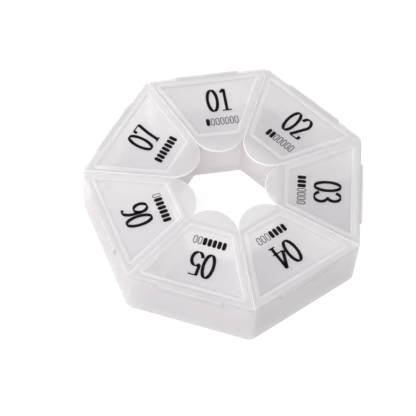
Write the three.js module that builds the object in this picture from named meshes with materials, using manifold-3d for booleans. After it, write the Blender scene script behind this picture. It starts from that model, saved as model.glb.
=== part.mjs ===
// A seven-day pill organizer: a ring-shaped tray with seven sides and seven compartments round an open
// finger hole. Each compartment has its own lid, held to the tray's outer wall by a thin moulded hinge
// strip, and each lid ends in a round finger tab over the hole.
// Millimetres, +Z up. The tray stands on z = 0 with a flat side towards -Y and a corner towards +Y, and
// the origin lies under the middle of the box round the whole part.
import * as THREE from "three";
import { mergeVertices } from "three/addons/utils/BufferGeometryUtils.js";
import Module from "manifold-3d";

const wasm = await Module();
wasm.setup();

// How many
const SIDES = 7;
const CORNER_STEPS = 4;
const TAB_STEPS = 24;
const STRIP_STEPS = 6;

// Tray
const SIDE_REACH = 49.5; // ring's centre to the outer face of a side
const HOLE_REACH = 19; // ring's centre to a face of the finger hole
const RIM_HEIGHT = 22.6;
const FLOOR = 1.3;
const OUTER_WALL = 1.6;
const INNER_WALL = 1.4;
const DIVIDER = 2.1;
const TRAY_CORNER_RADIUS = 3.6;
const HOLE_CORNER_RADIUS = 2;
const POCKET_CORNER_RADIUS = 1.6;

// Lids
const SEAT_GAP = 0.3; // rim to the underside of a closed lid
const LID_THICKNESS = 1;
const LID_INSET = 0.2; // tray's outer face to a lid's outer edge
const LID_GAP = 0.8; // between neighbouring lids
const LID_CORNER_RADIUS = 0.6;
const TAB_TIP_REACH = 13.6; // ring's centre to the tip of a finger tab
const PLUG_CLEARANCE = 0.4; // plug rib to the walls round its compartment
const PLUG_THICKNESS = 1.1;
const PLUG_DEPTH = 1.8;
const PANEL_RECESS = 0.35; // how far a lid's see-through panel lies under its border
const PANEL_CORNER_RADIUS = 1.2;

// Hinge strips
const STRIP_LENGTH = 24.4;
const STRIP_THICKNESS = 0.5;
const STRIP_BULGE = 0.85; // how far a folded strip stands out from the tray's side
const STRIP_FOLD_RADIUS = 0.1; // inside its fold
const STRIP_GAP = 0.3; // lid's edge to the strip
const STRIP_SINK = 0.15; // lid's top to the strip's top
const STRIP_REACH_DOWN = 3; // rim to the strip's lower edge

// Cuts run this far past the faces they open
const OVERRUN = 2;

// Points nearer than this are one point
const MERGE_DISTANCE = 1e-4;

// Worked out from the sizes above
const HALF_STEP = Math.PI / SIDES;
const FIRST_SIDE_ANGLE = Math.PI / 2 + HALF_STEP;
const LID_UNDERSIDE = RIM_HEIGHT + SEAT_GAP;
const LID_TOP = LID_UNDERSIDE + LID_THICKNESS;
const LID_EDGE_REACH = SIDE_REACH - LID_INSET;
const POCKET_OUTER_REACH = SIDE_REACH - OUTER_WALL;
const POCKET_INNER_REACH = HOLE_REACH + INNER_WALL;

// The box round the part runs from the strip on the side at -Y to the rounded corner at +Y.
const CORNER_REACH = SIDE_REACH / Math.cos(HALF_STEP) - TRAY_CORNER_RADIUS * (1 / Math.cos(HALF_STEP) - 1);
const RING_CENTRE_Y = (SIDE_REACH + STRIP_BULGE - CORNER_REACH) / 2;

const frosted = { color: 0xdcdbe0, roughness: 0.45, metalness: 0, transparent: true, opacity: 0.85 };

// Closed geometry to a solid, and back.
function solidFrom(geometry) {
  const bare = geometry.clone();
  bare.deleteAttribute("normal");
  bare.deleteAttribute("uv");
  const merged = mergeVertices(bare, MERGE_DISTANCE);
  return new wasm.Manifold(
    new wasm.Mesh({
      numProp: 3,
      vertProperties: new Float32Array(merged.attributes.position.array),
      triVerts: new Uint32Array(merged.index.array),
    }),
  );
}

function geometryFrom(solid) {
  const mesh = solid.getMesh();
  const geometry = new THREE.BufferGeometry();
  geometry.setAttribute("position", new THREE.BufferAttribute(new Float32Array(mesh.vertProperties), 3));
  geometry.setIndex(new THREE.BufferAttribute(new Uint32Array(mesh.triVerts), 1));
  geometry.computeVertexNormals();
  return geometry;
}

// Points along a circle, both ends included.
function arc(centre, radius, from, to, steps) {
  return Array.from({ length: steps + 1 }, (_, i) => {
    const angle = from + ((to - from) * i) / steps;
    return new THREE.Vector2(centre.x + radius * Math.cos(angle), centre.y + radius * Math.sin(angle));
  });
}

// An anticlockwise outline with each of its corners rounded to a radius.
function roundedOutline(corners, radius) {
  return corners.flatMap((corner, i) => {
    const before = corners.at(i - 1).clone().sub(corner).normalize();
    const after = corners[(i + 1) % corners.length].clone().sub(corner).normalize();
    const half = Math.acos(before.dot(after)) / 2;
    const middle = before.clone().add(after).normalize();
    const centre = corner.clone().addScaledVector(middle, radius / Math.sin(half));
    const outward = Math.atan2(-middle.y, -middle.x);
    const sweep = Math.PI / 2 - half;
    return arc(centre, radius, outward - sweep, outward + sweep, CORNER_STEPS);
  });
}

// A prism on an outline, from one height to another.
function prism(outline, bottom, top) {
  const settings = { depth: top - bottom, bevelEnabled: false };
  const geometry = new THREE.ExtrudeGeometry(new THREE.Shape(outline), settings);
  return solidFrom(geometry.translate(0, 0, bottom));
}

// The ring's outline at a reach: one corner for each side, the first of them towards +Y.
function ringCorners(reach) {
  return Array.from({ length: SIDES }, (_, i) => {
    const angle = Math.PI / 2 + i * 2 * HALF_STEP;
    const radius = reach / Math.cos(HALF_STEP);
    return new THREE.Vector2(radius * Math.cos(angle), radius * Math.sin(angle));
  });
}

// Half the width, at a reach, of a sector that keeps some distance to the lines between the sides.
function halfWidth(reach, keepOff) {
  return reach * Math.tan(HALF_STEP) - keepOff / Math.cos(HALF_STEP);
}

// The four corners of a sector that faces +Y.
function sectorCorners(inner, outer, keepOff) {
  const narrow = halfWidth(inner, keepOff);
  const wide = halfWidth(outer, keepOff);
  return [
    new THREE.Vector2(-narrow, inner),
    new THREE.Vector2(narrow, inner),
    new THREE.Vector2(wide, outer),
    new THREE.Vector2(-wide, outer),
  ];
}

// Where each side faces, the first lid's first, and then clockwise as seen from above.
function sideAngle(index) {
  return FIRST_SIDE_ANGLE - index * 2 * HALF_STEP;
}

function makeTray() {
  const pocket = prism(
    roundedOutline(sectorCorners(POCKET_INNER_REACH, POCKET_OUTER_REACH, DIVIDER / 2), POCKET_CORNER_RADIUS),
    FLOOR,
    RIM_HEIGHT + OVERRUN,
  );
  let tray = prism(roundedOutline(ringCorners(SIDE_REACH), TRAY_CORNER_RADIUS), 0, RIM_HEIGHT);
  tray = tray.subtract(
    prism(roundedOutline(ringCorners(HOLE_REACH), HOLE_CORNER_RADIUS), -OVERRUN, RIM_HEIGHT + OVERRUN),
  );
  for (let side = 0; side < SIDES; side += 1) {
    const turn = THREE.MathUtils.radToDeg(sideAngle(side) - Math.PI / 2);
    tray = tray.subtract(pocket.rotate([0, 0, turn]));
  }
  return tray;
}

// A lid's outline: a sector whose inner end is the circle that touches both its edges, so that the edges
// run smoothly into the tab.
function lidOutline() {
  const keepOff = LID_GAP / 2;
  const point = keepOff / Math.sin(HALF_STEP);
  const radius = (TAB_TIP_REACH - point) / (1 / Math.sin(HALF_STEP) - 1);
  const centre = new THREE.Vector2(0, TAB_TIP_REACH + radius);
  const tab = arc(centre, radius, Math.PI + HALF_STEP, 2 * Math.PI - HALF_STEP, TAB_STEPS);
  const sector = sectorCorners(POCKET_INNER_REACH, LID_EDGE_REACH, keepOff);
  const rounded = roundedOutline(sector, LID_CORNER_RADIUS).slice(2 * (CORNER_STEPS + 1));
  return [...tab, ...rounded];
}

function makeLid() {
  const keepOff = DIVIDER / 2 + PLUG_CLEARANCE;
  const plugInner = POCKET_INNER_REACH + PLUG_CLEARANCE;
  const plugOuter = POCKET_OUTER_REACH - PLUG_CLEARANCE;
  const hollow = sectorCorners(
    plugInner + PLUG_THICKNESS,
    plugOuter - PLUG_THICKNESS,
    keepOff + PLUG_THICKNESS,
  );
  const hollowOutline = roundedOutline(hollow, PANEL_CORNER_RADIUS);
  const plugOutline = roundedOutline(sectorCorners(plugInner, plugOuter, keepOff), POCKET_CORNER_RADIUS);
  const plugBottom = LID_UNDERSIDE - PLUG_DEPTH;
  return prism(lidOutline(), LID_UNDERSIDE, LID_TOP)
    .add(prism(plugOutline, plugBottom, LID_UNDERSIDE + LID_THICKNESS / 2))
    .subtract(prism(hollowOutline, plugBottom - OVERRUN, LID_UNDERSIDE))
    .subtract(prism(hollowOutline, LID_TOP - PANEL_RECESS, LID_TOP + OVERRUN));
}

// A hinge strip, folded as it is when its lid is shut: out from the lid's edge, over the rim and down
// along the tray's side. Drawn as reach and height, and run along the side.
function makeStrip() {
  const top = LID_TOP - STRIP_SINK;
  const outer = SIDE_REACH + STRIP_BULGE;
  const foldOutside = STRIP_FOLD_RADIUS + STRIP_THICKNESS;
  const bend = new THREE.Vector2(outer - foldOutside, top - foldOutside);
  const start = LID_EDGE_REACH + STRIP_GAP;
  const low = RIM_HEIGHT - STRIP_REACH_DOWN;
  const outline = [
    new THREE.Vector2(start, top - STRIP_THICKNESS),
    ...arc(bend, STRIP_FOLD_RADIUS, Math.PI / 2, 0, STRIP_STEPS),
    new THREE.Vector2(outer - STRIP_THICKNESS, low),
    new THREE.Vector2(outer, low),
    ...arc(bend, foldOutside, 0, Math.PI / 2, STRIP_STEPS),
    new THREE.Vector2(start, top),
  ];
  const settings = { depth: STRIP_LENGTH, bevelEnabled: false };
  const geometry = new THREE.ExtrudeGeometry(new THREE.Shape(outline), settings);
  const along = new THREE.Matrix4().makeBasis(
    new THREE.Vector3(0, 1, 0),
    new THREE.Vector3(0, 0, 1),
    new THREE.Vector3(1, 0, 0),
  );
  return solidFrom(geometry.translate(0, 0, -STRIP_LENGTH / 2).applyMatrix4(along));
}

function namedMesh(name, solid) {
  const mesh = new THREE.Mesh(geometryFrom(solid), new THREE.MeshStandardMaterial(frosted));
  mesh.name = name;
  return mesh;
}

const organizer = new THREE.Group();
organizer.position.y = RING_CENTRE_Y;
organizer.add(namedMesh("tray", makeTray()));

const lid = makeLid();
const strip = makeStrip();
for (let side = 0; side < SIDES; side += 1) {
  const station = new THREE.Group();
  station.rotation.z = sideAngle(side) - Math.PI / 2;
  station.add(namedMesh(`lid_${side + 1}`, lid));
  station.add(namedMesh(`hinge_strip_${side + 1}`, strip));
  organizer.add(station);
}

export default organizer;
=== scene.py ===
"""A seven-day pill organizer in frosted plastic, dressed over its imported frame.

The tray, the lids and the hinge strips are modelled in millimetres round the ring's centre, one sector
at a time, and set into the frame in metres. Each lid carries a printed day number and a row of pips.
"""

import logging
import math
from dataclasses import dataclass
from enum import Enum
from typing import Callable, ClassVar, Sequence, Union

import bmesh
import bpy
from mathutils import Matrix, Vector


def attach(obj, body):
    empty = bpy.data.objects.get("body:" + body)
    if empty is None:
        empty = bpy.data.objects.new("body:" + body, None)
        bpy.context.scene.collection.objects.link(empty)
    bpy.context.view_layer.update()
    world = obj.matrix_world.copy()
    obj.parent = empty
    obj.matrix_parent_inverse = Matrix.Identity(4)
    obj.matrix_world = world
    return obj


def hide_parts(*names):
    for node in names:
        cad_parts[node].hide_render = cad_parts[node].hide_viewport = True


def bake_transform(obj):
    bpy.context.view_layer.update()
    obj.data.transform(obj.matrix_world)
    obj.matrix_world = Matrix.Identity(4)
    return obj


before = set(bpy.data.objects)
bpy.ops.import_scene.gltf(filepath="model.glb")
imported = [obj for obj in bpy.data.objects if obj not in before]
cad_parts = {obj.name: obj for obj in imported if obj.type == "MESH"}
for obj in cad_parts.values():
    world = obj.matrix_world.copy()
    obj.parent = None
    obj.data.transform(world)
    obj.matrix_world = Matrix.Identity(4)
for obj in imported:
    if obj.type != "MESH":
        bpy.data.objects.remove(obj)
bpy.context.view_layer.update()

MM = 0.001
Plan = Sequence[tuple[float, float]]
Triple = tuple[float, float, float]
log = logging.getLogger("pill_organizer")


# Sizes that several pieces share

# Places nearer than this many millimetres count as one
SAME = 0.01

# A face whose normal has more of Z than this counts as level
LEVEL = 0.97


@dataclass(frozen=True)
class Ring:
    """The seven-sided ring that every piece follows, in millimetres."""

    sides: int = 7
    side_reach: float = 49.5
    hole_reach: float = 19.0
    rim_height: float = 22.6
    corner_radius: float = 3.6
    strip_bulge: float = 0.85

    @property
    def half_step(self) -> float:
        """Half the angle that one side takes."""
        return math.pi / self.sides

    @property
    def centre_y(self) -> float:
        """Where the ring's centre lies in the frame, along Y."""
        corner = self.side_reach / math.cos(self.half_step)
        corner -= self.corner_radius * (1 / math.cos(self.half_step) - 1)
        return (self.side_reach + self.strip_bulge - corner) / 2

    def side_angle(self, number: int) -> float:
        """The direction that a side faces.

        Args:
            number: The side, from 1, clockwise as seen from above.

        Returns:
            The angle from +X, in radians.
        """
        return math.pi / 2 + self.half_step - (number - 1) * 2 * self.half_step

    def half_width(self, reach: float, keep_off: float) -> float:
        """Half the width of a sector.

        Args:
            reach: Distance from the ring's centre.
            keep_off: Distance kept to the lines between the sides.

        Returns:
            The half width in millimetres.
        """
        return reach * math.tan(self.half_step) - keep_off / math.cos(self.half_step)

    def sector(self, inner: float, outer: float, keep_off: float) -> Plan:
        """The four corners of a sector that faces +Y.

        Args:
            inner: Reach of its inner edge.
            outer: Reach of its outer edge.
            keep_off: Distance kept to the lines between the sides.

        Returns:
            The corners, anticlockwise as seen from above.
        """
        narrow = self.half_width(inner, keep_off)
        wide = self.half_width(outer, keep_off)
        return ((-narrow, inner), (narrow, inner), (wide, outer), (-wide, outer))

    def station(self, number: int) -> Matrix:
        """The move from a sector that faces +Y, in millimetres, to its place in the frame, in metres.

        Args:
            number: The side, from 1, clockwise as seen from above.

        Returns:
            The move.
        """
        turn = Matrix.Rotation(self.side_angle(number) - math.pi / 2, 4, "Z")
        return Matrix.Scale(MM, 4) @ Matrix.Translation((0, self.centre_y, 0)) @ turn


# Mesh work


class Workpiece:
    """A mesh in the making, in millimetres."""

    SMOOTH_BELOW: ClassVar[float] = math.radians(32)

    def __init__(self) -> None:
        """Starts an empty mesh."""
        self.mesh = bmesh.new()

    def face(self, plan: Plan, height: float) -> bmesh.types.BMFace:
        """Makes one flat face.

        Args:
            plan: Its corners in plan.
            height: Its height.

        Returns:
            The face.
        """
        corners = [self.mesh.verts.new((x, y, height)) for x, y in plan]
        return self.mesh.faces.new(corners)

    def extrude(
        self, faces: list[bmesh.types.BMFace], by: Vector, keep: bool = False
    ) -> list[bmesh.types.BMFace]:
        """Extrudes faces as one region.

        Args:
            faces: The faces.
            by: How far, as a vector.
            keep: Whether the faces stay, as the other end of a loose region.

        Returns:
            The faces at the new end.
        """
        made = bmesh.ops.extrude_face_region(self.mesh, geom=faces)["geom"]
        moved = [part for part in made if isinstance(part, bmesh.types.BMVert)]
        bmesh.ops.translate(self.mesh, verts=moved, vec=by)
        if not keep:
            bmesh.ops.delete(self.mesh, geom=faces, context="FACES_ONLY")
        return [part for part in made if isinstance(part, bmesh.types.BMFace)]

    def step(self, face: bmesh.types.BMFace, inwards: float, up: float) -> None:
        """Insets a face, and lifts or sinks what is inside.

        Args:
            face: The face, which stays the innermost.
            inwards: Width of the ring round it.
            up: How far the inside moves along the face's normal.
        """
        bmesh.ops.inset_region(
            self.mesh, faces=[face], thickness=inwards, depth=up, use_even_offset=True
        )

    def parts(self) -> list[Union[bmesh.types.BMVert, bmesh.types.BMEdge, bmesh.types.BMFace]]:
        """All vertices, edges and faces."""
        return self.mesh.verts[:] + self.mesh.edges[:] + self.mesh.faces[:]

    def edges(
        self, test: Callable[[Vector, Vector], bool], sharper: float = 0.0
    ) -> list[bmesh.types.BMEdge]:
        """Edges picked by their ends.

        Args:
            test: Whether an edge counts, from its two ends' places.
            sharper: The angle, in radians, that the faces at an edge have to pass.

        Returns:
            The edges.
        """
        picked = [e for e in self.mesh.edges if test(e.verts[0].co, e.verts[1].co)]
        return [e for e in picked if not sharper or e.calc_face_angle(0.0) > sharper]

    def round(self, edges: list[bmesh.types.BMEdge], width: float, segments: int) -> None:
        """Rounds edges.

        Args:
            edges: The edges.
            width: How far the rounding reaches from each edge.
            segments: Its number of facets.
        """
        bmesh.ops.bevel(
            self.mesh, geom=edges, offset=width, offset_type="OFFSET", segments=segments,
            profile=0.5, affect="EDGES", clamp_overlap=False, material=-1,
        )

    def cut_corners(
        self, corners: list[bmesh.types.BMVert], tangent: float, segments: int, clamp: bool = False
    ) -> None:
        """Rounds corners of lone flat faces.

        Args:
            corners: The corners.
            tangent: How far the rounding reaches from each corner.
            segments: Facets at each corner.
            clamp: Whether roundings stop where they would meet.
        """
        bmesh.ops.bevel(
            self.mesh, geom=corners, offset=tangent, offset_type="OFFSET", segments=segments,
            profile=0.5, affect="VERTICES", clamp_overlap=clamp, material=-1,
        )

    def round_corners(self, face: bmesh.types.BMFace, radius: float, segments: int) -> None:
        """Rounds the corners of a lone flat face to one radius.

        Args:
            face: The face.
            radius: The radius.
            segments: Facets at each corner.
        """
        for corner in [loop.vert for loop in face.loops]:
            before, after = [e.other_vert(corner).co - corner.co for e in corner.link_edges]
            self.cut_corners([corner], radius / math.tan(before.angle(after) / 2), segments)

    def outwards(self) -> None:
        """Turns every face outwards."""
        bmesh.ops.recalc_face_normals(self.mesh, faces=self.mesh.faces[:])

    def open_edges(self) -> int:
        """How many edges don't join exactly two faces."""
        return sum(1 for edge in self.mesh.edges if not edge.is_manifold)

    def to_object(
        self,
        name: str,
        place: Matrix,
        finishes: Sequence[bpy.types.Material],
        choose: Callable[[bmesh.types.BMFace], int] = lambda face: 0,
    ) -> bpy.types.Object:
        """Moves the mesh to its place in the frame and makes it an object.

        Args:
            name: The object's name.
            place: The move from millimetres to the frame.
            finishes: The materials.
            choose: Which of them a face takes, by its place in millimetres.

        Returns:
            The object, at the origin.
        """
        self.outwards()
        self.mesh.normal_update()
        for part in self.mesh.faces:
            part.material_index = choose(part)
            part.smooth = True
        for edge in self.mesh.edges:
            edge.smooth = edge.is_manifold and edge.calc_face_angle(0.0) < self.SMOOTH_BELOW
        count = self.open_edges()
        if count:
            log.warning("%s has %d open edges", name, count)
        bmesh.ops.transform(self.mesh, matrix=place, verts=self.mesh.verts[:])
        data = bpy.data.meshes.new(name)
        self.mesh.to_mesh(data)
        self.mesh.free()
        for finish in finishes:
            data.materials.append(finish)
        made = bpy.data.objects.new(name, data)
        bpy.context.scene.collection.objects.link(made)
        log.info("%s: %d faces", name, len(data.polygons))
        return made


# Shader work


Number = Union[float, "Signal"]


class Signal:
    """A socket that can be worked with as a number."""

    def __init__(self, recipe: "Recipe", socket: bpy.types.NodeSocket) -> None:
        """Wraps a socket of a recipe."""
        self.recipe = recipe
        self.socket = socket

    def _math(self, operation: str, first: Number, second: Number) -> "Signal":
        """Works on two values with one Math node.

        Args:
            operation: The node's operation.
            first: The first value.
            second: The second value.

        Returns:
            The result.
        """
        return self.recipe.node("ShaderNodeMath", {"operation": operation}, {0: first, 1: second})

    def __add__(self, other: Number) -> "Signal":
        """Self plus other."""
        return self._math("ADD", self, other)

    def __radd__(self, other: Number) -> "Signal":
        """Other plus self."""
        return self._math("ADD", other, self)

    def __sub__(self, other: Number) -> "Signal":
        """Self minus other."""
        return self._math("SUBTRACT", self, other)

    def __mul__(self, other: Number) -> "Signal":
        """Self times other."""
        return self._math("MULTIPLY", self, other)

    def __gt__(self, other: Number) -> "Signal":
        """One where self is greater."""
        return self._math("GREATER_THAN", self, other)


class Recipe:
    """One material's nodes."""

    # The Mix node's sockets when it mixes colours: share, first, second, and the colour made
    MIX_SOCKETS: ClassVar[tuple[int, ...]] = (0, 6, 7, 2)

    def __init__(self, name: str) -> None:
        """Starts a material with its shader and output.

        Args:
            name: The material's name.
        """
        self.material = bpy.data.materials.new(name)
        self.material.use_nodes = True
        self.tree = self.material.node_tree
        self.shader = self.tree.nodes["Principled BSDF"]

    def node(
        self,
        kind: str,
        settings: dict[str, object],
        inputs: dict[Union[int, str], object],
        output: Union[int, str] = 0,
    ) -> Signal:
        """Makes one node.

        Args:
            kind: The node's type.
            settings: Its own settings, which are set first.
            inputs: Values or signals for its sockets.
            output: The socket that is returned.

        Returns:
            The output as a signal.
        """
        made = self.tree.nodes.new(kind)
        for key, value in settings.items():
            setattr(made, key, value)
        for key, value in inputs.items():
            self.plug(made.inputs[key], value)
        return Signal(self, made.outputs[output])

    def plug(self, socket: bpy.types.NodeSocket, value: object) -> None:
        """Sets or links a socket.

        Args:
            socket: The socket.
            value: A signal to link, or a number or colour to set.
        """
        if isinstance(value, Signal):
            self.tree.links.new(value.socket, socket)
        elif isinstance(value, tuple) and len(value) == 3 and socket.type == "RGBA":
            socket.default_value = (*value, 1.0)
        else:
            socket.default_value = value

    def feed(self, **inputs: object) -> None:
        """Sets or links sockets of the shader.

        Args:
            inputs: Values or signals, by the socket's name with an underscore for each space.
        """
        for name, value in inputs.items():
            self.plug(self.shader.inputs[name.replace("_", " ")], value)

    def place(self) -> Signal:
        """Places on the piece, in the frame's metres."""
        return self.node("ShaderNodeTexCoord", {}, {}, "Object")

    def noise(self, scale: float, detail: float, stretch: Triple = (1, 1, 1)) -> Signal:
        """Noise over the piece.

        Args:
            scale: Its blobs to the metre.
            detail: Its octaves.
            stretch: Scale along each axis.

        Returns:
            The noise, from 0 to 1.
        """
        where = self.node("ShaderNodeMapping", {}, {"Vector": self.place(), "Scale": stretch})
        return self.node("ShaderNodeTexNoise", {}, {"Vector": where, "Scale": scale, "Detail": detail})

    def blend(self, share: Number, first: Triple, second: Triple) -> Signal:
        """A colour between two.

        Args:
            share: How much of the second.
            first: The first colour.
            second: The second colour.

        Returns:
            The colour.
        """
        *inputs, output = self.MIX_SOCKETS
        values = dict(zip(inputs, (share, first, second)))
        return self.node("ShaderNodeMix", {"data_type": "RGBA"}, values, output)


@dataclass(frozen=True)
class FrostedPlastic:
    """Frosted polypropylene, seen through where it is thin and milky where it is thick."""

    name: str
    milk: float
    tint: Triple = (0.66, 0.64, 0.655)
    shade: Triple = (0.63, 0.605, 0.622)
    roughness: float = 0.46
    glow: float = 0.35
    glow_depth: float = 0.003
    glow_spread: Triple = (1.0, 0.95, 0.95)
    refraction: float = 1.49
    noise_middle: float = 0.5
    cloud_scale: float = 55.0
    cloud_in_roughness: float = 0.12
    cloud_in_milk: float = 0.06
    scuff_scale: float = 420.0
    scuff_stretch: Triple = (1.0, 0.18, 1.0)
    scuff_from: float = 0.66
    scuff_in_roughness: float = 0.05
    scuff_in_milk: float = 0.015
    grain_scale: float = 2600.0
    grain_height: float = 0.000008
    wave_scale: float = 45.0
    wave_height: float = 0.00006

    def material(self) -> bpy.types.Material:
        """Makes the material.

        Returns:
            The material.
        """
        recipe = Recipe(self.name)
        clouds = recipe.noise(self.cloud_scale, detail=3.0)
        grain = recipe.noise(self.grain_scale, detail=2.0)
        waves = recipe.noise(self.wave_scale, detail=1.0)
        scuffs = recipe.noise(self.scuff_scale, detail=4.0, stretch=self.scuff_stretch)
        scuffs = scuffs > self.scuff_from
        colour = recipe.blend(clouds, self.tint, self.shade)
        rough = self.roughness + (clouds - self.noise_middle) * self.cloud_in_roughness
        milk = self.milk + (clouds - self.noise_middle) * self.cloud_in_milk
        height = waves * self.wave_height + grain * self.grain_height
        bump = recipe.node("ShaderNodeBump", {}, {"Strength": 1.0, "Distance": 1.0, "Height": height})
        recipe.feed(
            Base_Color=colour,
            Roughness=rough + scuffs * self.scuff_in_roughness,
            Alpha=milk + scuffs * self.scuff_in_milk,
            Normal=bump,
            IOR=self.refraction,
            Subsurface_Weight=self.glow,
            Subsurface_Radius=self.glow_spread,
            Subsurface_Scale=self.glow_depth,
        )
        return recipe.material


@dataclass(frozen=True)
class PrintingInk:
    """Black pad-printing ink with a slight sheen and worn specks."""

    name: str = "printing_ink"
    fresh: Triple = (0.002, 0.002, 0.0025)
    worn: Triple = (0.007, 0.0065, 0.007)
    wear_scale: float = 900.0
    roughness: float = 0.38
    wear_in_roughness: float = 0.2
    refraction: float = 1.5
    sheen: float = 0.06

    def material(self) -> bpy.types.Material:
        """Makes the material.

        Returns:
            The material.
        """
        recipe = Recipe(self.name)
        wear = recipe.noise(self.wear_scale, detail=3.0)
        recipe.feed(
            Base_Color=recipe.blend(wear, self.fresh, self.worn),
            Roughness=self.roughness + wear * self.wear_in_roughness,
            IOR=self.refraction,
            Specular_IOR_Level=self.sheen,
        )
        return recipe.material


class Finish(Enum):
    """The finishes, mostly by the thickness of the wall that they stand for; some tints carry painted
    light or painted shade.
    """

    WALL = FrostedPlastic(
        "frosted_wall", milk=0.54, tint=(0.57, 0.552, 0.562), shade=(0.543, 0.522, 0.534), glow=0.7
    )
    # Painted light: the rim top under the lids is tinted far paler than the walls to lift the shade in
    # the narrow gaps between the lids.
    RIM_PAINTED_LIGHT = FrostedPlastic("frosted_rim_painted_light", milk=0.7, tint=(0.92, 0.905, 0.915), shade=(0.89, 0.87, 0.88))
    INNER_WALL = FrostedPlastic(
        "frosted_inner_wall", milk=0.28, tint=(0.59, 0.535, 0.545), shade=(0.56, 0.505, 0.515), glow=0.7
    )
    # Painted light: the dividers are tinted near white to stand in for the light that shines through
    # them from the side.
    DIVIDER_PAINTED_LIGHT = FrostedPlastic(
        "frosted_divider_painted_light", milk=0.5, tint=(0.96, 0.93, 0.95), shade=(0.93, 0.9, 0.92), glow=0.8
    )
    # Painted light: the finger hole's wall is tinted paler than the outer wall to lift the shade that
    # falls in the hole.
    HOLE_WALL_PAINTED_LIGHT = FrostedPlastic(
        "frosted_hole_wall_painted_light", milk=0.5, tint=(0.77, 0.73, 0.75), shade=(0.74, 0.695, 0.715), glow=0.8
    )
    FLOOR = FrostedPlastic(
        "frosted_floor", milk=0.8, tint=(0.61, 0.58, 0.613), shade=(0.59, 0.558, 0.593)
    )
    # Painted shade: the rounded edges are tinted a little darker than the plate to tone down the light
    # that they catch.
    EDGE_PAINTED_SHADE = FrostedPlastic(
        "frosted_edge_painted_shade", milk=0.5, tint=(0.56, 0.55, 0.56), shade=(0.54, 0.525, 0.54), roughness=0.5
    )
    PANEL = FrostedPlastic(
        "frosted_panel", milk=0.3, tint=(0.66, 0.645, 0.656), shade=(0.635, 0.615, 0.628), glow=0.2
    )
    FLANGE = FrostedPlastic(
        "frosted_flange", milk=0.48, tint=(0.585, 0.573, 0.582), shade=(0.56, 0.545, 0.556), glow=0.3
    )
    # Painted shade: the tab is the same plate as the flange, tinted darker to stand in for the shade of
    # the hole beneath it.
    TAB_PAINTED_SHADE = FrostedPlastic(
        "frosted_tab_painted_shade", milk=0.57, tint=(0.53, 0.516, 0.526), shade=(0.51, 0.493, 0.504), glow=0.3
    )
    # Painted highlight: the rounded edges along the tab's arc and the lids' sides are tinted pale to
    # draw bright highlight lines.
    TAB_RIM_PAINTED_HIGHLIGHT = FrostedPlastic(
        "frosted_tab_rim_painted_highlight", milk=0.65, tint=(0.72, 0.71, 0.72), shade=(0.7, 0.685, 0.7), glow=0.3
    )
    RIB = FrostedPlastic(
        "frosted_rib", milk=0.45, tint=(0.68, 0.67, 0.68), shade=(0.655, 0.64, 0.655), glow=0.3
    )
    PIN_MARK = FrostedPlastic("frosted_pin_mark", milk=0.07, glow=0.0)
    STRIP = FrostedPlastic(
        "frosted_strip", milk=0.4, tint=(0.58, 0.565, 0.575), shade=(0.56, 0.54, 0.55), glow=0.2
    )
    INK = PrintingInk()


class Palette:
    """Makes each finish's material once."""

    def __init__(self) -> None:
        """Starts with no material made."""
        self._made: dict[Finish, bpy.types.Material] = {}

    def get(self, finish: Finish) -> bpy.types.Material:
        """The material of a finish.

        Args:
            finish: The finish.

        Returns:
            Its material.
        """
        if finish not in self._made:
            self._made[finish] = finish.value.material()
        return self._made[finish]

    def several(self, finishes: Sequence[Finish]) -> list[bpy.types.Material]:
        """The materials of several finishes, in their order.

        Args:
            finishes: The finishes.

        Returns:
            Their materials.
        """
        return [self.get(finish) for finish in finishes]


# Sub-assemblies


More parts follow.
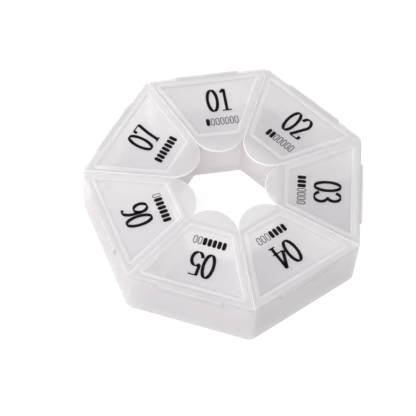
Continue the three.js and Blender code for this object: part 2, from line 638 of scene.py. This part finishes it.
@dataclass
class Tray:
    """The tray: seven compartments round the finger hole, in one moulding."""

    FINISHES: ClassVar[tuple[Finish, ...]] = (
        Finish.WALL, Finish.FLOOR, Finish.INNER_WALL, Finish.EDGE_PAINTED_SHADE, Finish.RIM_PAINTED_LIGHT, Finish.HOLE_WALL_PAINTED_LIGHT,
        Finish.DIVIDER_PAINTED_LIGHT,
    )

    ring: Ring
    palette: Palette
    floor: float = 1.3
    outer_wall: float = 1.6
    inner_wall: float = 1.4
    divider: float = 2.1
    pocket_corner: float = 1.6
    hole_corner: float = 2.0
    floor_fillet: float = 0.45
    foot_fillet: float = 0.55
    hole_foot_fillet: float = 0.5
    rim_rounding: float = 0.35
    rim_sharpness: float = 1.2
    upright: float = 15.0
    cut_length: float = 29.0
    corner_slack: float = 0.35
    floor_zone: float = 0.05
    divider_end: float = 0.6
    outside_depth: float = 1.2
    merge: float = 0.002

    def build(self) -> bpy.types.Object:
        """Models the tray and sets it on its body.

        Returns:
            The tray.
        """
        work = Workpiece()
        self._sector(work)
        self._close_ring(work)
        self._round_outside(work)
        made = work.to_object(
            "frosted_tray", self.ring.station(1), self.palette.several(self.FINISHES),
            lambda face: self.FINISHES.index(self._finish_of(face)),
        )
        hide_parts("tray")
        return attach(made, "tray")

    def _sector(self, work: Workpiece) -> None:
        """Models one sector with its pocket, facing +Y.

        Args:
            work: The mesh.
        """
        ring = self.ring
        base = work.face(ring.sector(ring.hole_reach, ring.side_reach, 0.0), 0.0)
        top = work.extrude([base], Vector((0, 0, ring.rim_height)), keep=True)[0]
        work.outwards()
        work.step(top, inwards=1.0, up=0.0)
        inner = ring.hole_reach + self.inner_wall
        outer = ring.side_reach - self.outer_wall
        middle = (inner + outer) / 2
        for vert in top.verts:
            for x, y in ring.sector(inner, outer, self.divider / 2):
                if (x > 0) == (vert.co.x > 0) and (y > middle) == (vert.co.y > middle):
                    target = Vector((x, y, vert.co.z))
            vert.co = target
        work.extrude([top], Vector((0, 0, self.floor - ring.rim_height)))
        cut = [face for face in work.mesh.faces if self._is_cut(face)]
        bmesh.ops.delete(work.mesh, geom=cut, context="FACES_ONLY")
        angle = math.pi / 2 - ring.half_step
        for far in (False, True):
            opening = angle if far else math.pi - angle
            corners = work.edges(
                lambda a, b: abs(a.z - b.z) > self.upright and inner - SAME < a.y < outer + SAME
                and (a.y > middle) == far
            )
            work.round(corners, self.pocket_corner / math.tan(opening / 2), segments=5)
        low = work.edges(lambda a, b: max(abs(a.z - self.floor), abs(b.z - self.floor)) < SAME)
        work.round(low, self.floor_fillet, segments=4)

    def _is_cut(self, face: bmesh.types.BMFace) -> bool:
        """Whether a face is the open side of a sector, where the next one joins.

        Args:
            face: The face.

        Returns:
            True for an upright face that runs from the hole to the outside.
        """
        reaches = [vert.co.y for vert in face.verts]
        return abs(face.normal.z) < SAME and max(reaches) - min(reaches) > self.cut_length

    def _close_ring(self, work: Workpiece) -> None:
        """Copies the sector round the ring and joins the copies.

        Args:
            work: The mesh.
        """
        copies = self.ring.sides - 1
        bmesh.ops.spin(
            work.mesh, geom=work.parts(), cent=(0, 0, 0), axis=(0, 0, 1), dvec=(0, 0, 0),
            angle=2 * self.ring.half_step * copies, steps=copies, use_duplicate=True, use_merge=False,
        )
        bmesh.ops.remove_doubles(work.mesh, verts=work.mesh.verts[:], dist=self.merge)
        work.outwards()

    def _round_outside(self, work: Workpiece) -> None:
        """Rounds the ring's upright corners, its foot and its rim.

        Args:
            work: The mesh.
        """
        ring = self.ring
        slope = math.tan(math.pi / 2 - ring.half_step)
        corners = ((ring.side_reach, ring.corner_radius), (ring.hole_reach, self.hole_corner))
        for reach, radius in corners:
            size = reach / math.cos(ring.half_step)
            upright = work.edges(
                lambda a, b: abs(a.z - b.z) > self.upright and abs(a.xy.length - size) < SAME
            )
            work.round(upright, radius / slope, segments=5)
        outside = ring.side_reach - self.corner_slack
        foot = work.edges(
            lambda a, b: max(a.z, b.z) < SAME and min(self._reach(a), self._reach(b)) > outside
        )
        work.round(foot, self.foot_fillet, segments=5)
        inside = ring.hole_reach + self.corner_slack
        foot = work.edges(
            lambda a, b: max(a.z, b.z) < SAME and max(self._reach(a), self._reach(b)) < inside
        )
        work.round(foot, self.hole_foot_fillet, segments=2)
        rim = work.edges(lambda a, b: min(a.z, b.z) > ring.rim_height - SAME, self.rim_sharpness)
        work.round(rim, self.rim_rounding, segments=2)

    def _finish_of(self, face: bmesh.types.BMFace) -> Finish:
        """Picks a face's finish by its place.

        Args:
            face: The face.

        Returns:
            One of the tray's finishes.
        """
        centre = face.calc_center_median()
        reach = self._reach(centre)
        outside = self.ring.side_reach
        if centre.z < self.floor + self.floor_zone:
            return Finish.WALL if reach > outside - self.foot_fillet else Finish.FLOOR
        # The rim's rounding takes the darker tint of painted shade.
        if centre.z > self.ring.rim_height - self.rim_rounding and abs(face.normal.z) < LEVEL:
            return Finish.EDGE_PAINTED_SHADE
        # The rim top between the lids takes the pale tint that paints light into the gaps.
        if centre.z > self.ring.rim_height - SAME:
            return Finish.WALL if reach > outside - self.outer_wall else Finish.RIM_PAINTED_LIGHT
        # The hole's wall takes the pale tint that paints light into the hole.
        if reach < self.ring.hole_reach + self.inner_wall / 2:
            return Finish.HOLE_WALL_PAINTED_LIGHT
        # Divider faces take the near-white tint that paints in light shining through them.
        if reach < outside - self.outer_wall - self.divider_end:
            return Finish.DIVIDER_PAINTED_LIGHT
        return Finish.WALL if reach > outside - self.outside_depth else Finish.INNER_WALL

    def _reach(self, point: Vector) -> float:
        """A point's reach: its distance from the centre square to the side nearest to it.

        Args:
            point: The point.

        Returns:
            The reach in millimetres.
        """
        step = 2 * self.ring.half_step
        turn = math.atan2(point.y, point.x) - math.pi / 2
        return point.xy.length * math.cos((turn + step / 2) % step - step / 2)


@dataclass
class Lid:
    """One lid: a plate with a finger tab, a plug rib under it and a sunk panel on top."""

    FINISHES: ClassVar[tuple[Finish, ...]] = (
        Finish.FLANGE, Finish.RIB, Finish.PANEL, Finish.EDGE_PAINTED_SHADE, Finish.TAB_PAINTED_SHADE, Finish.PIN_MARK,
        Finish.TAB_RIM_PAINTED_HIGHLIGHT,
    )

    # Faces made from the one inside the frame keep this mark until they get their finish
    FRAME_MARK: ClassVar[int] = 1

    ring: Ring
    palette: Palette
    number: int
    seat_gap: float = 0.3
    thickness: float = 1.0
    edge_inset: float = 0.2
    side_gap: float = 0.12
    corner_radius: float = 0.6
    tab_tip: float = 13.6
    round_steps: int = 28
    frame_inner: float = 20.8
    frame_outer: float = 47.5
    frame_keep_off: float = 1.45
    frame_corner: float = 1.9
    rib_thickness: float = 1.1
    rib_depth: float = 1.8
    edge_rounding: float = 0.3
    rib_rounding: float = 0.25
    bead_rounding: float = 0.14
    bead_floor: float = 0.04
    edge_sharpness: float = 1.0
    bead_sharpness: float = 0.2
    frame_slack: float = 0.05
    rib_zone: float = 0.05
    pin_place: tuple[float, float] = (14.2, 42.7)
    pin_radius: float = 1.4
    pin_top_radius: float = 1.25
    pin_height: float = 0.05
    pin_zone: float = 1.5
    pin_area: float = 7.0
    profile: tuple[tuple[float, float], ...] = (
        (0.14, -0.03), (0.16, 0.0), (0.35, 0.08), (0.5, 0.0), (0.6, -0.22),
    )

    @property
    def underside(self) -> float:
        """Height of the lid's underside."""
        return self.ring.rim_height + self.seat_gap

    @property
    def top(self) -> float:
        """Height of the flange's upper face."""
        return self.underside + self.thickness

    @property
    def panel_height(self) -> float:
        """Height of the panel's upper face."""
        return self.top + sum(up for _, up in self.profile)

    def build(self) -> bpy.types.Object:
        """Models the lid and sets it on its body.

        Returns:
            The lid.
        """
        work = Workpiece()
        faces, inner = self._plan(work)
        upper = work.extrude(faces, Vector((0, 0, self.thickness)), keep=True)
        work.outwards()
        top = max(upper, key=lambda f: f.calc_area())
        if inner.normal.z > 0:
            inner.normal_flip()
        self._rib(work, inner)
        for inwards, up in self.profile:
            work.step(top, inwards, up)
        self._round_edges(work)
        self._pin_mark(work)
        made = work.to_object(
            f"frosted_lid_{self.number}", self.ring.station(self.number),
            self.palette.several(self.FINISHES),
            lambda face: self.FINISHES.index(self._finish_of(face)),
        )
        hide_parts(f"lid_{self.number}")
        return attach(made, f"lid_{self.number}")

    def _plan(self, work: Workpiece) -> tuple[list[bmesh.types.BMFace], bmesh.types.BMFace]:
        """Draws the lid's plan at its underside: the outline, and the frame inside it.

        Args:
            work: The mesh.

        Returns:
            All the faces, and the one inside the frame.
        """
        ring = self.ring
        mesh = work.mesh
        half = ring.half_step
        point = self.side_gap / 2 / math.sin(half)
        radius = (self.tab_tip - point) / (1 / math.sin(half) - 1)
        centre = Vector((0, self.tab_tip + radius, 0))
        start = centre + radius * Vector((-math.cos(half), -math.sin(half), 0))
        first = mesh.verts.new(start)
        tab = bmesh.ops.spin(
            mesh, geom=[first], cent=centre, axis=(0, 0, 1), dvec=(0, 0, 0),
            angle=math.pi - 2 * half, steps=self.round_steps, use_duplicate=False,
        )
        last = [part for part in tab["geom_last"] if isinstance(part, bmesh.types.BMVert)][0]
        reach = ring.side_reach - self.edge_inset
        wide = ring.half_width(reach, self.side_gap / 2)
        far = [mesh.verts.new((wide, reach, 0)), mesh.verts.new((-wide, reach, 0))]
        for pair in ((last, far[0]), (far[0], far[1]), (far[1], first)):
            mesh.edges.new(pair)
        bmesh.ops.edgeloop_fill(mesh, edges=mesh.edges[:])
        work.cut_corners(far, self.corner_radius / math.tan((math.pi / 2 - half) / 2), segments=5)
        outline = mesh.faces[:][0]
        work.step(outline, inwards=self.edge_rounding, up=0.0)
        border = [f for f in mesh.faces if f is not outline]
        rim = list(outline.edges)
        bmesh.ops.delete(mesh, geom=[outline], context="FACES_ONLY")
        known = set(mesh.faces)
        frame_plan = ring.sector(self.frame_inner, self.frame_outer, self.frame_keep_off)
        work.round_corners(work.face(frame_plan, 0.0), self.frame_corner, segments=5)
        inner = [f for f in mesh.faces if f not in known][0]
        inner.material_index = self.FRAME_MARK
        between = bmesh.ops.triangle_fill(mesh, edges=rim + list(inner.edges), use_beauty=True)
        fill = [part for part in between["geom"] if isinstance(part, bmesh.types.BMFace)]
        bmesh.ops.translate(mesh, verts=mesh.verts[:], vec=(0, 0, self.underside))
        return border + fill + [inner], inner

    def _rib(self, work: Workpiece, bottom: bmesh.types.BMFace) -> None:
        """Models the plug rib under the plate.

        Args:
            work: The mesh.
            bottom: The face inside the frame, looking down.
        """
        low = work.extrude([bottom], Vector((0, 0, -self.rib_depth)))[0]
        work.step(low, inwards=self.rib_thickness, up=0.0)
        work.extrude([low], Vector((0, 0, self.rib_depth)))

    def _round_edges(self, work: Workpiece) -> None:
        """Rounds the plate's outline, the rib's lower edges and the bead on top.

        Args:
            work: The mesh.
        """
        plate = work.edges(lambda a, b: min(a.z, b.z) > self.underside - SAME, self.edge_sharpness)
        outline = [edge for edge in plate if not self._in_frame(edge)]
        work.round(outline, self.edge_rounding, segments=3)
        low = self.underside - self.rib_depth
        rib = work.edges(lambda a, b: max(a.z, b.z) < low + SAME, self.edge_sharpness)
        work.round(rib, self.rib_rounding, segments=2)
        bead = work.edges(lambda a, b: min(a.z, b.z) > self.top + self.bead_floor, self.bead_sharpness)
        work.round(bead, self.bead_rounding, segments=3)

    def _in_frame(self, edge: bmesh.types.BMEdge) -> bool:
        """Whether an edge lies in the frame, not on the plate's outline.

        Args:
            edge: The edge.

        Returns:
            True when both its ends lie in the frame.
        """
        for vert in edge.verts:
            x, y = abs(vert.co.x), vert.co.y
            if y < self.frame_inner - self.frame_slack or y > self.frame_outer + self.frame_slack:
                return False
            if x > self.ring.half_width(y, self.frame_keep_off - self.frame_slack):
                return False
        return True

    def _pin_mark(self, work: Workpiece) -> None:
        """Adds the faint round mark of the mould's pin near the panel's outer corner.

        Args:
            work: The mesh.
        """
        bmesh.ops.create_cone(
            work.mesh, cap_ends=True, segments=self.round_steps, radius1=self.pin_radius,
            radius2=self.pin_top_radius, depth=self.pin_height,
            matrix=Matrix.Translation((*self.pin_place, self.panel_height)),
        )

    def _finish_of(self, face: bmesh.types.BMFace) -> Finish:
        """Picks a face's finish by its place and by the frame's mark.

        Args:
            face: The face.

        Returns:
            One of the lid's finishes.
        """
        centre = face.calc_center_median()
        from_pin = (centre.xy - Vector(self.pin_place)).length
        if from_pin < self.pin_zone and face.calc_area() < self.pin_area:
            return Finish.PIN_MARK
        framed = face.material_index == self.FRAME_MARK
        if centre.z > self.underside and not framed and abs(face.normal.z) < LEVEL:
            # Outer edges take the darker tint of painted shade; the tab's arc and the side edges take
            # the pale tint of painted highlight.
            return Finish.EDGE_PAINTED_SHADE if face.normal.y > abs(face.normal.x) else Finish.TAB_RIM_PAINTED_HIGHLIGHT
        if centre.z < self.underside - self.rib_zone:
            return Finish.RIB
        if not framed:
            # The tab takes the darker tint of painted shade; the rest of the plate is the flange.
            return Finish.TAB_PAINTED_SHADE if centre.y < self.frame_inner else Finish.FLANGE
        levels = (self.panel_height, self.underside)
        return Finish.PANEL if min(abs(centre.z - z) for z in levels) < SAME else Finish.RIB


@dataclass
class HingeStrip:
    """The thin moulded strip that joins a lid to the tray's side; on the real box it bends as the lid
    opens.
    """

    ring: Ring
    palette: Palette
    number: int
    length: float = 24.4
    rounding: float = 0.12
    end_sharpness: float = 1.4
    cut_tolerance: float = 0.001
    bends: tuple[float, ...] = (21.5, 21.8, 22.1, 22.4, 22.7, 22.95)
    bend_start: Triple = (0.0, 49.9, 21.2)
    bend_end: Triple = (0.0, 49.9, 23.3)
    profile: Plan = (
        (49.22, 23.72), (49.75, 23.72), (50.2, 23.35), (50.3, 22.6), (50.22, 21.2), (49.95, 20.1),
        (49.46, 19.6), (49.46, 20.9), (49.78, 21.5), (49.82, 22.6), (49.62, 23.12), (49.22, 23.2),
    )

    def build(self) -> bpy.types.Object:
        """Models the strip folded over the rim, cut across at the heights where it would bend.

        Returns:
            The strip.
        """
        work = Workpiece()
        corners = [work.mesh.verts.new((-self.length / 2, y, z)) for y, z in self.profile]
        work.mesh.faces.new(corners)
        bent = corners[1:6] + corners[8:10]
        work.cut_corners(bent, self.rounding, segments=3, clamp=True)
        work.extrude(work.mesh.faces[:], Vector((self.length, 0, 0)), keep=True)
        work.outwards()
        ends = work.edges(lambda a, b: abs(a.x - b.x) < SAME, self.end_sharpness)
        work.round(ends, self.rounding, segments=2)
        for height in self.bends:
            bmesh.ops.bisect_plane(
                work.mesh, geom=work.parts(), plane_co=(0, 0, height), plane_no=(0, 0, 1),
                dist=self.cut_tolerance,
            )
        place = self.ring.station(self.number)
        made = work.to_object(
            f"living_hinge_{self.number}", place, self.palette.several([Finish.STRIP])
        )
        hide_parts(f"hinge_strip_{self.number}")
        start = place @ Vector(self.bend_start)
        end = place @ Vector(self.bend_end)
        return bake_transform(made)


class Glyph:
    """Condensed slab digits, drawn in a box half as wide as it is high."""

    STEM: ClassVar[float] = 0.115
    HAIR: ClassVar[float] = 0.05
    DEGREES_PER_STEP: ClassVar[float] = 12.0
    LEAST_STEPS: ClassVar[int] = 4

    @classmethod
    def bow(cls, x: float, y: float, across: float, high: float, start: float, end: float) -> Plan:
        """Points along part of an ellipse.

        Args:
            x: Its centre, across.
            y: Its centre, up.
            across: Half its width.
            high: Half its height.
            start: Where the part starts, in degrees.
            end: Where the part ends, in degrees.

        Returns:
            The points.
        """
        steps = max(cls.LEAST_STEPS, int(abs(end - start) / cls.DEGREES_PER_STEP))
        turns = [math.radians(start + (end - start) * i / steps) for i in range(steps + 1)]
        return tuple((x + across * math.cos(t), y + high * math.sin(t)) for t in turns)

    @classmethod
    def strokes(cls, digit: int) -> list[Plan]:
        """A digit's strokes.

        Args:
            digit: From 0 to 7.

        Returns:
            Each stroke's middle line.
        """
        bow = cls.bow
        return {
            0: [bow(0.25, 0.5, 0.2, 0.47, 0, 360)],
            1: [
                ((0.27, 0.97), (0.27, 0.03)),
                ((0.1, 0.84), (0.27, 0.97)),
                ((0.08, 0.025), (0.46, 0.025)),
            ],
            2: [
                bow(0.25, 0.73, 0.2, 0.25, 170, -20) + ((0.36, 0.52), (0.07, 0.03)),
                ((0.05, 0.03), (0.46, 0.03)),
                ((0.44, 0.03), (0.46, 0.18)),
            ],
            3: [bow(0.23, 0.745, 0.19, 0.23, 165, -90), bow(0.23, 0.265, 0.22, 0.24, 90, -165)],
            4: [
                ((0.36, 0.97), (0.36, 0.03)),
                ((0.36, 0.97), (0.03, 0.3)),
                ((0.03, 0.3), (0.5, 0.3)),
                ((0.22, 0.025), (0.5, 0.025)),
            ],
            5: [
                ((0.42, 0.96), (0.1, 0.96)),
                ((0.1, 0.97), (0.08, 0.55)),
                bow(0.24, 0.31, 0.21, 0.28, 140, -165),
            ],
            6: [
                bow(0.29, 0.5, 0.22, 0.47, 60, 180) + ((0.07, 0.3),),
                bow(0.26, 0.28, 0.19, 0.25, 0, 360),
            ],
            7: [
                ((0.05, 0.96), (0.45, 0.96)),
                ((0.06, 0.96), (0.06, 0.82)),
                ((0.44, 0.96), (0.3, 0.5), (0.22, 0.03)),
                ((0.1, 0.025), (0.34, 0.025)),
            ],
        }[digit]


@dataclass
class DayMark:
    """The print on a lid: the day's number, and under it a row of pips with that many filled."""

    # How far each lid's print stands off the lid's middle line
    SHIFTS: ClassVar[tuple[float, ...]] = (2.3, 1.8, 1.2, 0.1, -0.8, -1.6, 0.6)

    ring: Ring
    palette: Palette
    number: int
    panel_height: float
    lift: float = 0.012
    ink: float = 0.03
    merge: float = 0.004
    figure_reach: float = 37.0
    figure_height: float = 10.3
    figure_width: float = 9.6
    figure_margin: float = 0.25
    box_share: float = 1.04
    row_reach: float = 27.3
    row_length: float = 11.0
    pip_height: float = 3.3
    pip_radius: float = 0.72
    pip_rounding: float = 0.98
    pip_line: float = 0.27

    @property
    def height(self) -> float:
        """Height of the print's underside."""
        return self.panel_height + self.lift

    def build(self) -> bpy.types.Object:
        """Draws the print and sets it on its lid.

        Returns:
            The print.
        """
        work = Workpiece()
        shift = self.SHIFTS[self.number - 1]
        for column, digit in enumerate((0, self.number)):
            left = shift + (column - 1) * self.figure_width / 2 + self.figure_margin
            for stroke in Glyph.strokes(digit):
                self._stroke(work, stroke, left)
        pitch = self.row_length / (self.ring.sides - 1)
        for index in range(self.ring.sides):
            self._pip(work, shift - self.row_length / 2 + index * pitch, index < self.number)
        bmesh.ops.remove_doubles(work.mesh, verts=work.mesh.verts[:], dist=self.merge)
        work.extrude(work.mesh.faces[:], Vector((0, 0, self.ink)), keep=True)
        made = work.to_object(
            f"day_mark_{self.number}", self.ring.station(self.number),
            self.palette.several([Finish.INK]),
        )
        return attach(made, f"lid_{self.number}")

    def _stroke(self, work: Workpiece, path: Plan, left: float) -> None:
        """Draws one stroke with a nib that is wide across and thin up and down.

        Args:
            work: The mesh.
            path: The stroke's middle line in the glyph's box.
            left: The box's left edge on the lid.
        """
        scale = Vector((self.figure_width / self.box_share, self.figure_height))
        corner = Vector((left, self.figure_reach - self.figure_height / 2))
        points = [corner + Vector(place) * scale for place in path]
        closed = (points[0] - points[-1]).length < SAME
        if closed:
            points = points[:-1]
        pairs = []
        for index, point in enumerate(points):
            before = points[index - 1] if closed or index else point
            after = points[(index + 1) % len(points)] if closed or index + 1 < len(points) else point
            along = (after - before).normalized()
            across = Vector((-along.y, along.x))
            nib = Glyph.STEM * abs(across.x) + Glyph.HAIR * abs(across.y)
            half = across * nib * self.figure_height / 2
            ends = (point + half, point - half)
            pairs.append([work.mesh.verts.new((*end, self.height)) for end in ends])
        last = len(pairs) if closed else len(pairs) - 1
        for index in range(last):
            a, b = pairs[index], pairs[(index + 1) % len(pairs)]
            work.mesh.faces.new((a[1], b[1], b[0], a[0]))

    def _pip(self, work: Workpiece, middle: float, filled: bool) -> None:
        """Draws one capsule-shaped pip.

        Args:
            work: The mesh.
            middle: Where it stands along the row.
            filled: Whether it is solid or a ring.
        """
        left, right = middle - self.pip_radius, middle + self.pip_radius
        low = self.row_reach - self.pip_height / 2
        high = self.row_reach + self.pip_height / 2
        base = work.face(((left, low), (right, low), (right, high), (left, high)), self.height)
        known = set(work.mesh.faces) - {base}
        work.cut_corners(list(base.verts), self.pip_radius * self.pip_rounding, segments=5)
        pip = [f for f in work.mesh.faces if f not in known][0]
        if not filled:
            bmesh.ops.inset_region(
                work.mesh, faces=[pip], thickness=self.pip_line, use_even_offset=True, use_boundary=True
            )
            bmesh.ops.delete(work.mesh, geom=[pip], context="FACES_ONLY")


@dataclass(frozen=True)
class Lamp:
    """A square soft light that looks at the object, in metres and watts."""

    name: str
    place: Triple
    size: float
    power: float

    def hang(self, target: Triple) -> None:
        """Adds the light to the scene.

        Args:
            target: The point that it looks at.
        """
        data = bpy.data.lights.new(self.name, "AREA")
        data.size = self.size
        data.energy = self.power
        made = bpy.data.objects.new(self.name, data)
        made.location = self.place
        made.rotation_mode = "QUATERNION"
        made.rotation_quaternion = (Vector(target) - Vector(self.place)).to_track_quat("-Z", "Y")
        bpy.context.scene.collection.objects.link(made)


@dataclass
class Studio:
    """Floor, light and camera."""

    LAMPS: ClassVar[tuple[Lamp, ...]] = (
        Lamp("key_light", (-0.45, -0.45, 0.6), size=0.5, power=2.7),
        Lamp("fill_light", (0.1, -0.7, 0.7), size=0.6, power=6.15),
        Lamp("accent_light", (-0.27, -0.01, 0.25), size=0.25, power=0.8),
    )

    lamp_target: Triple = (0.0, 0.0, 0.01)
    lens: float = 142.32
    sensor: float = 36.0
    nearest: float = 0.01
    eye: Triple = (0.065525, -0.321954, 0.542233)
    right: Triple = (0.958763, 0.28167, 0.037893)
    up: Triple = (-0.260015, 0.815488, 0.51708)
    back: Triple = (0.114744, -0.505609, 0.855098)
    sky: float = 0.68
    sky_colour: Triple = (1.0, 0.995, 0.99)
    floor_size: float = 6.0
    floor_height: float = -0.15
    floor_pale: Triple = (0.32, 0.32, 0.32)
    floor_dim: Triple = (0.3, 0.3, 0.3)
    floor_clouds: float = 3.0
    floor_roughness: float = 0.9
    table_glow: float = 0.77

    def build(self) -> None:
        """Sets up the floor, the lights, the sky and the camera."""
        self._floor()
        for lamp in self.LAMPS:
            lamp.hang(self.lamp_target)
        self._sky()
        self._camera()
        bpy.context.scene.view_settings.view_transform = "Standard"

    def _floor(self) -> None:
        """Lays a plain pale floor."""
        work = Workpiece()
        size = self.floor_size / MM / 2
        work.face(((-size, -size), (size, -size), (size, size), (-size, size)), self.floor_height)
        recipe = Recipe("pale_floor")
        clouds = recipe.noise(self.floor_clouds, detail=2.0)
        recipe.feed(
            Base_Color=recipe.blend(clouds, self.floor_dim, self.floor_pale),
            Roughness=self.floor_roughness,
            Specular_IOR_Level=0.0,
            Emission_Color=(1.0, 1.0, 1.0),
            Emission_Strength=self.table_glow,
        )
        made = work.to_object("floor", Matrix.Scale(MM, 4), [recipe.material])

    def _sky(self) -> None:
        """Lights the scene evenly from all round."""
        world = bpy.data.worlds.new("soft_room")
        world.use_nodes = True
        background = world.node_tree.nodes["Background"]
        background.inputs["Color"].default_value = (*self.sky_colour, 1.0)
        background.inputs["Strength"].default_value = self.sky
        bpy.context.scene.world = world

    def _camera(self) -> None:
        """Sets the camera where the photograph was taken from."""
        data = bpy.data.cameras.new("camera")
        data.sensor_width = self.sensor
        data.lens = self.lens
        data.clip_start = self.nearest
        made = bpy.data.objects.new("camera", data)
        turn = Matrix((self.right, self.up, self.back)).transposed()
        made.matrix_world = Matrix.Translation(self.eye) @ turn.to_4x4()
        bpy.context.scene.collection.objects.link(made)
        bpy.context.scene.camera = made


def main() -> None:
    """Builds every piece in order."""
    logging.basicConfig(level=logging.INFO, format="%(name)s: %(message)s")
    ring = Ring()
    palette = Palette()
    Tray(ring, palette).build()
    for number in range(1, ring.sides + 1):
        lid = Lid(ring, palette, number)
        lid.build()
        HingeStrip(ring, palette, number).build()
        DayMark(ring, palette, number, lid.panel_height).build()
    Studio().build()


if __name__ == "__main__":
    main()
